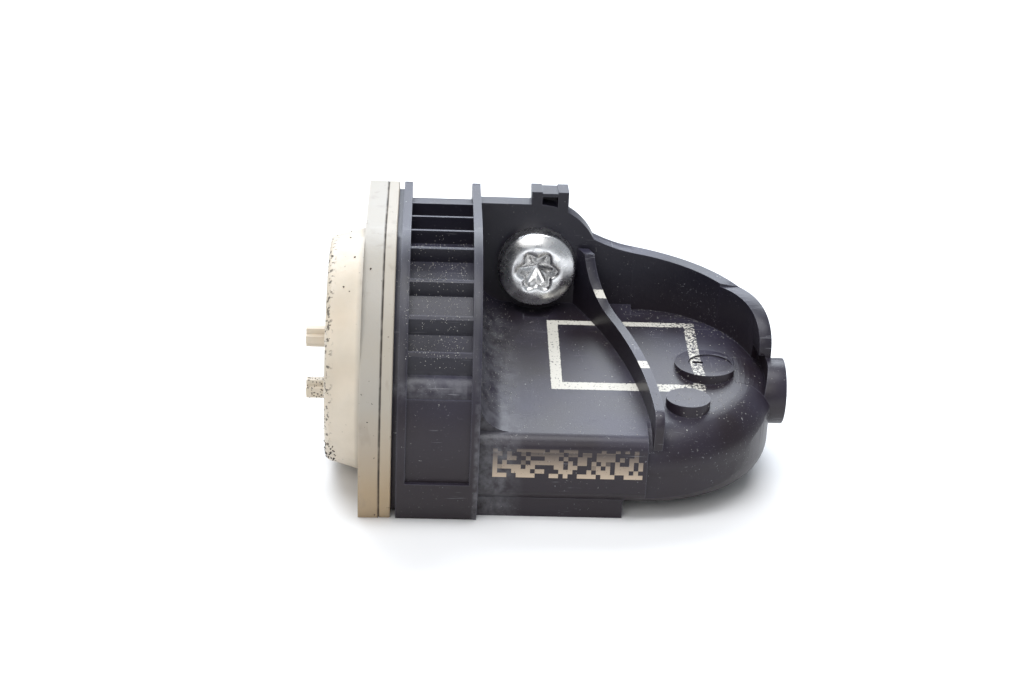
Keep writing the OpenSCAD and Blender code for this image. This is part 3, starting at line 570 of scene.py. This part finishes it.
face_y, end_y = (corner[1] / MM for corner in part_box("valve_screw"))
head_r, head_h, recess_d, neck_r, core_r, pan_rise = 3.1, 2.1, 1.2, 1.3, 1.24, 0.38
under_y = face_y + head_h
floor_y = face_y + recess_d
recess = [(0.05, floor_y + 0.32, 0), (0.5, floor_y + 0.12, 0.3), (0.95, floor_y - 0.08, 0.7),
          (1.28, floor_y - 0.2, 1), (1.42, floor_y - 0.3, 1), (1.5, floor_y - 0.7, 1),
          (1.56, face_y + 0.16, 1), (1.66, face_y + 0.06, 0.9), (1.82, face_y + 0.015, 0.5)]
pan = [(1.95 + t, face_y + pan_rise * t ** 1.5, 0) for t in (i / 10 for i in range(11))]
side = [(3.03, face_y + 0.47, 0), (3.08, face_y + 0.6, 0), (head_r, face_y + 0.8, 0),
        (head_r, under_y - 0.15, 0), (3.04, under_y - 0.03, 0), (2.9, under_y, 0), (1.38, under_y, 0)]
shank = [(neck_r, under_y + 0.1, 0), (neck_r, -0.1, 0), (core_r, 0.05, 0), (core_r, end_y - 0.35, 0),
         (0.95, end_y - 0.03, 0), (0.9, end_y - 0.01, 0)]
rings = recess + pan + side + shank
screw = link("valve_screw_body", lobed_lathe("valve_screw_body", rings))
for polygon in screw.data.polygons:
    polygon.use_smooth = True
screw.modifiers.new("flat faces", "WEIGHTED_NORMAL")
settled(screw)
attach(screw, "root")
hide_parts("valve_screw")
print("screw", round(face_y, 2), "to", round(end_y, 2), "mm")

# %% [markdown]
# Two pieces are a line wound round an axis: the screw's thread and the winding of the coil. One
# Geometry Nodes tree makes both. It draws a spiral from named sizes, sweeps a small profile along
# it, and ends in a plain mesh. The screw takes a six-sided profile, partly sunk in its core, and
# the coil an eight-sided one.

# %% Winding tree
def winding_tree(material):
    tree = bpy.data.node_groups.new("winding", "GeometryNodeTree")
    interface = tree.interface
    interface.new_socket("Geometry", in_out="OUTPUT", socket_type="NodeSocketGeometry")
    kinds = dict.fromkeys(("Turns", "Radius", "Length", "Profile"), "NodeSocketFloat")
    kinds["Sides"] = "NodeSocketInt"
    sizes = {n: interface.new_socket(n, in_out="INPUT", socket_type=kind) for n, kind in kinds.items()}
    nodes, links = tree.nodes, tree.links
    start, end = nodes.new("NodeGroupInput"), nodes.new("NodeGroupOutput")
    spiral = nodes.new("GeometryNodeCurveSpiral")
    spiral.inputs["Resolution"].default_value = 40
    for a, b in (("Turns", "Rotations"), ("Radius", "Start Radius"), ("Radius", "End Radius"),
                 ("Length", "Height")):
        links.new(start.outputs[a], spiral.inputs[b])
    ring = nodes.new("GeometryNodeCurvePrimitiveCircle")
    links.new(start.outputs["Sides"], ring.inputs["Resolution"])
    links.new(start.outputs["Profile"], ring.inputs["Radius"])
    sweep = nodes.new("GeometryNodeCurveToMesh")
    sweep.inputs["Fill Caps"].default_value = True
    realize = nodes.new("GeometryNodeRealizeInstances")
    paint = nodes.new("GeometryNodeSetMaterial")
    paint.inputs["Material"].default_value = material
    links.new(spiral.outputs["Curve"], sweep.inputs["Curve"])
    links.new(ring.outputs["Curve"], sweep.inputs["Profile Curve"])
    links.new(sweep.outputs["Mesh"], realize.inputs["Geometry"])
    links.new(realize.outputs["Geometry"], paint.inputs["Geometry"])
    links.new(paint.outputs["Geometry"], end.inputs["Geometry"])
    return tree, sizes


def wound(name, material, turn, place, **values):
    # place is where the axis starts, and turn lays the axis along the piece
    tree, sizes = winding_tree(material)
    piece = link(name, bpy.data.meshes.new(name))
    maker = piece.modifiers.new("winding", "NODES")
    maker.node_group = tree
    for key, value in values.items():
        maker[sizes[key].identifier] = value
    settled(piece)
    piece.data.transform(Matrix.Translation(place) @ turn)
    shape = bmesh.new()
    shape.from_mesh(piece.data)
    bmesh.ops.recalc_face_normals(shape, faces=shape.faces)
    shape.to_mesh(piece.data)
    shape.free()
    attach(piece, "root")
    print(name, len(piece.data.polygons), "faces")
    return piece


print("winding tree ready")

# %% [markdown]
# Bright zinc is a metal with a thin clear bloom: mostly smooth, cloudy in places, with dark stains
# of dirt and oil laid on by a noise.

# %% Metals
def metal_finish(name, colour, rough, stain, stain_colour, size=0.9):
    f = Finish(name, metallic=1.0)
    cloud = f.noise(size, detail=4)
    fine = f.noise(size * 0.12, detail=3)
    marks = f.noise(size * 0.45, detail=4, rough=0.6).over(0.58, 0.72) * stain
    tint = f.mix(cloud.over(0.35, 0.7) * 0.35, colour, tuple(c * 0.72 for c in colour))
    f.set("Base Color", f.mix(marks, tint, stain_colour))
    f.set("Roughness", rough + 0.16 * cloud.over(0.3, 0.7) + 0.3 * marks)
    f.set("Normal", f.bump(fine * 0.03 + cloud * 0.04, 0.15, 0.1))
    return f


zinc = metal_finish("bright_zinc", (0.90, 0.90, 0.90), 0.19, 0.5, (0.22, 0.20, 0.18), size=0.7)
copper = metal_finish("lacquered_copper", (0.72, 0.33, 0.16), 0.25, 0.2, (0.2, 0.09, 0.05), size=0.6)
screw.data.materials.append(zinc.material)
pitch, runout, thread_start, thread_r, thread_profile = 0.5, 0.6, 0.2, 1.29, 0.19
thread_length = end_y - 0.5
thread = wound("valve_screw_thread", zinc.material, Matrix.Rotation(math.radians(-90), 4, "X"),
               Vector((0, thread_start, 0)) * MM, Turns=thread_length / pitch - runout, Radius=thread_r * MM,
               Length=(thread_length - 2 * thread_start) * MM, Profile=thread_profile * MM, Sides=6)

# %% [markdown]
# Crumbs of dirt and grains of road dust stand proud of the surface, so they are geometry and not
# paint. Placing each by hand would look placed; a scatter tree throws them on the faces with a
# fixed seed, only where dust gathers, and turns and sizes each by chance.

# %% Grains of dust
def scatter_tree(name, target, material, seed, density, size, keep, least_up):
    # keep is (low corner, high corner) of the region, in metres; least_up is how much a face must look up
    tree = bpy.data.node_groups.new(name, "GeometryNodeTree")
    face = tree.interface
    face.new_socket("Geometry", in_out="OUTPUT", socket_type="NodeSocketGeometry")
    grain_size = face.new_socket("Grain", in_out="INPUT", socket_type="NodeSocketFloat")
    amount = face.new_socket("Density", in_out="INPUT", socket_type="NodeSocketFloat")
    nodes, links = tree.nodes, tree.links
    start, end = nodes.new("NodeGroupInput"), nodes.new("NodeGroupOutput")
    source = nodes.new("GeometryNodeObjectInfo")
    source.inputs["Object"].default_value = target
    spots = nodes.new("GeometryNodeDistributePointsOnFaces")
    spots.inputs["Seed"].default_value = seed
    links.new(source.outputs["Geometry"], spots.inputs["Mesh"])
    links.new(start.outputs["Density"], spots.inputs["Density"])
    where = nodes.new("GeometryNodeInputPosition")
    split = nodes.new("ShaderNodeSeparateXYZ")
    links.new(where.outputs[0], split.inputs[0])
    facing = nodes.new("ShaderNodeSeparateXYZ")
    links.new(spots.outputs["Normal"], facing.inputs[0])
    tests = [(facing.outputs[2], least_up, "GREATER_THAN")]
    for axis in range(3):
        tests.append((split.outputs[axis], keep[0][axis], "GREATER_THAN"))
        tests.append((split.outputs[axis], keep[1][axis], "LESS_THAN"))
    wanted = None
    for value, limit, operation in tests:
        test = nodes.new("FunctionNodeCompare")
        test.operation = operation
        links.new(value, test.inputs[0])
        test.inputs[1].default_value = limit
        if wanted is None:
            wanted = test.outputs[0]
            continue
        both = nodes.new("FunctionNodeBooleanMath")
        both.operation = "AND"
        links.new(wanted, both.inputs[0])
        links.new(test.outputs[0], both.inputs[1])
        wanted = both.outputs[0]
    grain = nodes.new("GeometryNodeMeshIcoSphere")
    grain.inputs["Subdivisions"].default_value = 1
    links.new(start.outputs["Grain"], grain.inputs["Radius"])
    turn = nodes.new("FunctionNodeRandomValue")
    turn.data_type = "FLOAT_VECTOR"
    turn.inputs["Max"].default_value = (6.28, 6.28, 6.28)
    turn.inputs["Seed"].default_value = seed + 1
    scale = nodes.new("FunctionNodeRandomValue")
    scale.data_type = "FLOAT_VECTOR"
    scale.inputs["Min"].default_value = (0.3, 0.3, 0.25)
    scale.inputs["Max"].default_value = (1.3, 1.0, 0.7)
    scale.inputs["Seed"].default_value = seed + 2
    copies = nodes.new("GeometryNodeInstanceOnPoints")
    links.new(spots.outputs["Points"], copies.inputs["Points"])
    links.new(wanted, copies.inputs["Selection"])
    links.new(grain.outputs["Mesh"], copies.inputs["Instance"])
    links.new(turn.outputs[0], copies.inputs["Rotation"])
    links.new(scale.outputs[0], copies.inputs["Scale"])
    realize = nodes.new("GeometryNodeRealizeInstances")
    paint = nodes.new("GeometryNodeSetMaterial")
    paint.inputs["Material"].default_value = material
    links.new(copies.outputs[0], realize.inputs["Geometry"])
    links.new(realize.outputs["Geometry"], paint.inputs["Geometry"])
    links.new(paint.outputs["Geometry"], end.inputs["Geometry"])
    piece = link(name, bpy.data.meshes.new(name))
    maker = piece.modifiers.new("scatter", "NODES")
    maker.node_group = tree
    maker[grain_size.identifier] = size * MM
    maker[amount.identifier] = density
    settled(piece)
    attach(piece, "root")
    print(name, len(piece.data.polygons), "faces")
    return piece


def grain_finish(name, pale, dark):
    f = Finish(name)
    cloud = f.noise(0.4, detail=2)
    f.set("Base Color", f.mix(cloud.over(0.35, 0.65), dark, pale))
    f.set("Roughness", 0.75 + 0.2 * cloud)
    f.set("Normal", f.bump(f.noise(0.03, detail=1), 0.4, 0.05))
    return f.material


dust = grain_finish("pale_dust", (0.50, 0.49, 0.46), (0.24, 0.23, 0.21))
soil = grain_finish("dark_soil", (0.06, 0.045, 0.035), (0.02, 0.016, 0.013))
# name, carrier, finish, seed, least look up, grains per square metre, size, and the region's corners
regions = [("dust_pockets", housing, dust, 11, -0.3, 5e6, 0.045, at(3.6, -9.4, 2.2), at(7.6, 3.5, 9.0)),
           ("dust_ribs", housing, dust, 19, 0.2, 9e6, 0.05, at(3.2, -9.4, 2.2), at(7.8, 3.5, 9.0)),
           ("dust_shoulder", housing, dust, 12, 0.1, 8e6, 0.045, at(8.4, -6, -2.6), at(11.6, 9.4, 3.5)),
           ("dust_tray", housing, dust, 13, 0.2, 0.5e6, 0.05, at(11.6, -8.6, -2.8), at(31, 10.9, 1.5)),
           ("dust_fence_root", housing, dust, 14, 0.15, 4e6, 0.05, at(18, 5.2, -1.2), at(31, 11.0, 1.4)),
           ("dust_pads", housing, dust, 20, 0.1, 4e6, 0.05, at(23.4, -5.8, -2.6), at(29, 2.6, -0.7)),
           ("soil_dome_edge", cover, soil, 15, -1.1, 1.4e6, 0.06, at(-2.6, -8.7, -8.4), at(-2.1, 8, 8.4)),
           ("soil_lump", cover, soil, 18, -1.1, 9e6, 0.11, at(-2.7, -8.0, -7.6), at(-1.8, -4.8, -4.4)),
           ("soil_stud", cover, soil, 16, -1.1, 14e6, 0.08, at(-4.25, -1.6, -4.4), at(-2.4, 1.6, -2.5)),
           ("soil_cover", cover, soil, 17, -1.1, 0.12e6, 0.10, at(-2.4, -9.4, -9.0), at(1.2, 9, 9.0))]
for name, target, material, seed, least_up, density, size, low, high in regions:
    piece = scatter_tree(name, target, material, seed, density, size, (low, high), least_up)

# %% [markdown]
# Behind the walls lie the cell, its tabs, the board and what it carries. A section or an opened
# cover shows them, so each has the finish of the real thing: solder mask over copper, moulded
# epoxy, sintered ferrite, tinned leads. They share three recipes: metal, moulded and laminate.

# %% Inner pieces
def moulded_finish(name, colour, rough, speck=0.0, size=0.6, pale=(0.5, 0.5, 0.5)):
    f = Finish(name, specular_ior_level=0.4)
    cloud = f.noise(size, detail=4)
    fine = f.noise(size * 0.1, detail=2)
    tint = f.mix(cloud.over(0.35, 0.7) * 0.4, colour, tuple(c * 0.7 for c in colour))
    f.set("Base Color", f.mix(fine.over(0.66, 0.72) * speck, tint, pale))
    f.set("Roughness", rough + 0.15 * cloud)
    f.set("Normal", f.bump(fine * 0.06 + cloud * 0.04, 0.5, 0.2))
    return f


def laminate_finish():
    # green mask, with tracks seen through it as slightly paler lines
    f = Finish("board_laminate", specular_ior_level=0.5, coat_weight=0.4, coat_roughness=0.15)
    spot = f.place()
    x, y = f.along(spot, "X"), f.along(spot, "Y")
    warp = f.noise(4, detail=1) * 3.0
    track = ((x / (1.1 * MM) + warp.math("FLOOR", warp)).part() - 0.5).size().over(0.36, 0.40)
    cross = ((y / (1.7 * MM) + warp.math("FLOOR", warp)).part() - 0.5).size().over(0.42, 0.45)
    lines = track.most(cross) * f.noise(2.5, detail=1).over(0.45, 0.5)
    colour = f.mix(lines, (0.018, 0.12, 0.055), (0.04, 0.21, 0.09))
    f.set("Base Color", f.mix(f.noise(1.2, detail=3).over(0.5, 0.8) * 0.3, colour, (0.01, 0.08, 0.04)))
    f.set("Roughness", 0.28 + 0.12 * f.noise(0.8, detail=2))
    f.set("Normal", f.bump(lines * 0.5, 0.5, 0.04))
    return f


steel = metal_finish("cell_can", (0.66, 0.66, 0.64), 0.24, 0.3, (0.25, 0.22, 0.18), size=1.6)
nickel = metal_finish("tab_strip", (0.62, 0.58, 0.50), 0.28, 0.3, (0.3, 0.24, 0.16))
tin = metal_finish("solder_metal", (0.70, 0.70, 0.72), 0.3, 0.2, (0.3, 0.3, 0.3), size=0.4)
lid = metal_finish("lid_metal", (0.60, 0.62, 0.64), 0.26, 0.2, (0.3, 0.3, 0.3), size=0.7)
epoxy = moulded_finish("chip_moulding", (0.028, 0.028, 0.030), 0.5, speck=0.15, pale=(0.12, 0.12, 0.12))
rubber = moulded_finish("seal_rubber", (0.035, 0.035, 0.036), 0.62, size=0.4)
membrane = moulded_finish("filter_membrane", (0.74, 0.74, 0.71), 0.75, size=0.2)
ferrite = moulded_finish("coil_ferrite", (0.075, 0.068, 0.066), 0.55, speck=0.4, size=0.4,
                         pale=(0.16, 0.15, 0.15))
tantalum = moulded_finish("capacitor_moulding", (0.52, 0.34, 0.07), 0.45, size=0.7)
ceramic = moulded_finish("capacitor_ceramic", (0.42, 0.30, 0.19), 0.5, speck=0.2, size=0.3,
                         pale=(0.5, 0.42, 0.3))
board = laminate_finish()
# the last four solids are replaced by dressed copies, so what they wear here isn't seen
inner = {
    "coin_cell": (steel, "cell_can"), "tab_positive": (nickel, "tab_strip"),
    "tab_negative": (nickel, "tab_strip"), "circuit_board": (board, "board_laminate"),
    "sensor_chip": (epoxy, "chip_moulding"), "sensor_leads": (tin, "solder_metal"),
    "sensor_lid": (lid, "lid_metal"),
    "port_seal": (rubber, "seal_rubber"), "port_filter": (membrane, "filter_membrane"),
    "crystal": (lid, "lid_metal"), "coil_core": (ferrite, "coil_ferrite"),
    "coil_winding": (copper, "wire_copper"), "aerial_loop": (copper, "wire_copper"),
    "storage_capacitor": (tantalum, "capacitor_moulding"), "chip_capacitors": (ceramic, "capacitor_ceramic"),
    "chip_resistors": (epoxy, "chip_moulding"), "chip_inductors": (ferrite, "coil_ferrite"),
    "housing": (epoxy, "housing_plastic"), "cover": (membrane, "cover_plastic"),
    "cell_carrier": (membrane, "carrier_plastic"), "valve_screw": (zinc, "screw_zinc")}
for name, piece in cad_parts.items():
    piece.data.materials.clear()
    piece.data.materials.append(inner[name][0].material)
widths = {"coin_cell": 0.12, "sensor_chip": 0.08, "crystal": 0.1, "storage_capacitor": 0.08}
for name, width in widths.items():
    finish, slot_name = inner[name]
    piece = rounded(name, name + "_shell", width)
    piece.data.materials.append(finish.material)

# %% [markdown]
# The receiving coil is wound with lacquered wire. The solid is a plain sleeve; the winding tree
# lays a wire round it, turn by turn, inside the sleeve's own outline.

# %% Coil winding
low, high = (Vector(v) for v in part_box("coil_winding"))
middle, reach = (low + high) / 2, (high - low) / MM
wire = 0.13
coil_length = reach.x - 2 * wire
coil = wound("coil_wire", copper.material, Matrix.Rotation(math.radians(90), 4, "Y"),
             Vector((low.x + wire * MM, middle.y, middle.z)), Turns=coil_length / (2 * wire),
             Radius=(reach.z / 2 - wire) * MM, Length=coil_length * MM, Profile=wire * MM, Sides=8)
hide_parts("coil_winding")
